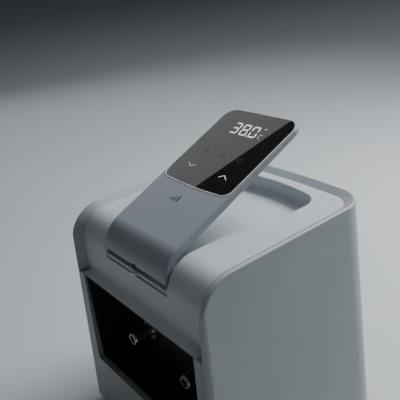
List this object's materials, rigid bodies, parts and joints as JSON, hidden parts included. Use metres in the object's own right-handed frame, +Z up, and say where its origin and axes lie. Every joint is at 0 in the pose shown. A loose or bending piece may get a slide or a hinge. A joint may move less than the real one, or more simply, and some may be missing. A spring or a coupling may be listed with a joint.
{
  "type": "sous vide circulator",
  "caption": "Free-standing box-shaped water circulator with a tapered rounded housing, recessed top, bent tilting display arm and a front recess with hose ports.",
  "frame": {"origin": "centre of the footprint on the table, at the underside of the feet", "axes": "+Z up, -Y front (hose ports and foot of the display arm), +X to the right seen from the front"},
  "size_m": [0.1968, 0.1926, 0.2687],
  "materials": {
    "case_grey": "fine matt",
    "cover_grey": "fine matt",
    "black_plastic": "satin black",
    "bezel": "bright edge",
    "display_glass": "polished black glass",
    "stainless": "brushed",
    "zinc_steel": "zinc plated",
    "rubber_black": "matt",
    "silicone": "milky silicone",
    "pump_plastic": "glass-filled",
    "magnet": "ground ferrite",
    "bronze": "plain",
    "board_green": "solder mask",
    "component": "moulded",
    "aluminium": "extruded"
  },
  "bodies": {
    "housing": {"base_plate": "zinc_steel", "base_screws": "zinc_steel", "board_mounts": "zinc_steel", "button_bracket": "zinc_steel", "button_spring": "stainless", "fan_frame": "black_plastic", "fan_hub_mount": "black_plastic", "friction_washers": "bronze", "front_panel": "case_grey", "heat_sink": "aluminium", "heater_element": "stainless", "heater_hose": "silicone", "heater_inlet": "stainless", "heater_saddles": "pump_plastic", "heater_tube": "stainless", "hinge_brackets": "zinc_steel", "hose_clamps": "stainless", "inlet_pins": "bronze", "inlet_port": "stainless", "main_housing": "case_grey", "mains_inlet": "black_plastic", "motor_can": "zinc_steel", "motor_stator": "zinc_steel", "outlet_port": "stainless", "port_links": "silicone", "port_nuts": "zinc_steel", "port_seals": "rubber_black", "port_tray": "black_plastic", "power_board": "board_green", "power_components": "component", "pump_cover": "pump_plastic", "pump_gasket": "rubber_black", "pump_housing": "pump_plastic", "pump_outlet": "pump_plastic", "pump_saddle": "pump_plastic", "rear_bearing": "bronze", "rear_grille": "zinc_steel", "rear_panel": "zinc_steel", "rear_screws": "zinc_steel", "rubber_feet": "rubber_black", "switch_frame": "black_plastic", "temperature_sensors": "bronze", "thermal_cutout": "zinc_steel", "top_cover": "cover_grey"},
    "display_arm": {"arm_shell": "case_grey", "arm_back_cover": "case_grey", "arm_screws": "zinc_steel", "bezel_ring": "bezel", "glass_lens": "display_glass", "display_board": "board_green", "led_module": "component", "touch_pads": "black_plastic", "hinge_shaft": "stainless", "retaining_rings": "zinc_steel"},
    "release_button": {"release_button": "cover_grey"},
    "pump_rotor": {"impeller": "pump_plastic", "rotor_shaft": "stainless", "motor_rotor": "magnet"},
    "fan": {"fan_rotor": "black_plastic"},
    "power_rocker": {"power_rocker": "black_plastic"}
  },
  "joints": [
    {"name": "arm_tilt", "type": "hinge", "parent": "housing", "child": "display_arm", "pos_m": [0, -0.07, 0.191], "axis": [1, 0, 0], "range_deg": [-18, 20]},
    {"name": "release_press", "type": "slide", "parent": "housing", "child": "release_button", "axis": [0, 1, 0], "range_m": [0, 0.0015], "stiffness_N_per_m": 300, "springref_m": -0.001, "deforming": ["button_spring"]},
    {"name": "pump_spin", "type": "hinge", "parent": "housing", "child": "pump_rotor", "pos_m": [-0.038, 0, 0.095], "axis": [0, 1, 0], "continuous": true},
    {"name": "fan_spin", "type": "hinge", "parent": "housing", "child": "fan", "pos_m": [-0.035, 0.07, 0.146], "axis": [0, 1, 0], "continuous": true},
    {"name": "rocker_tilt", "type": "hinge", "parent": "housing", "child": "power_rocker", "pos_m": [-0.026, 0.0864, 0.045], "axis": [1, 0, 0], "range_deg": [0, 18]}
  ]
}
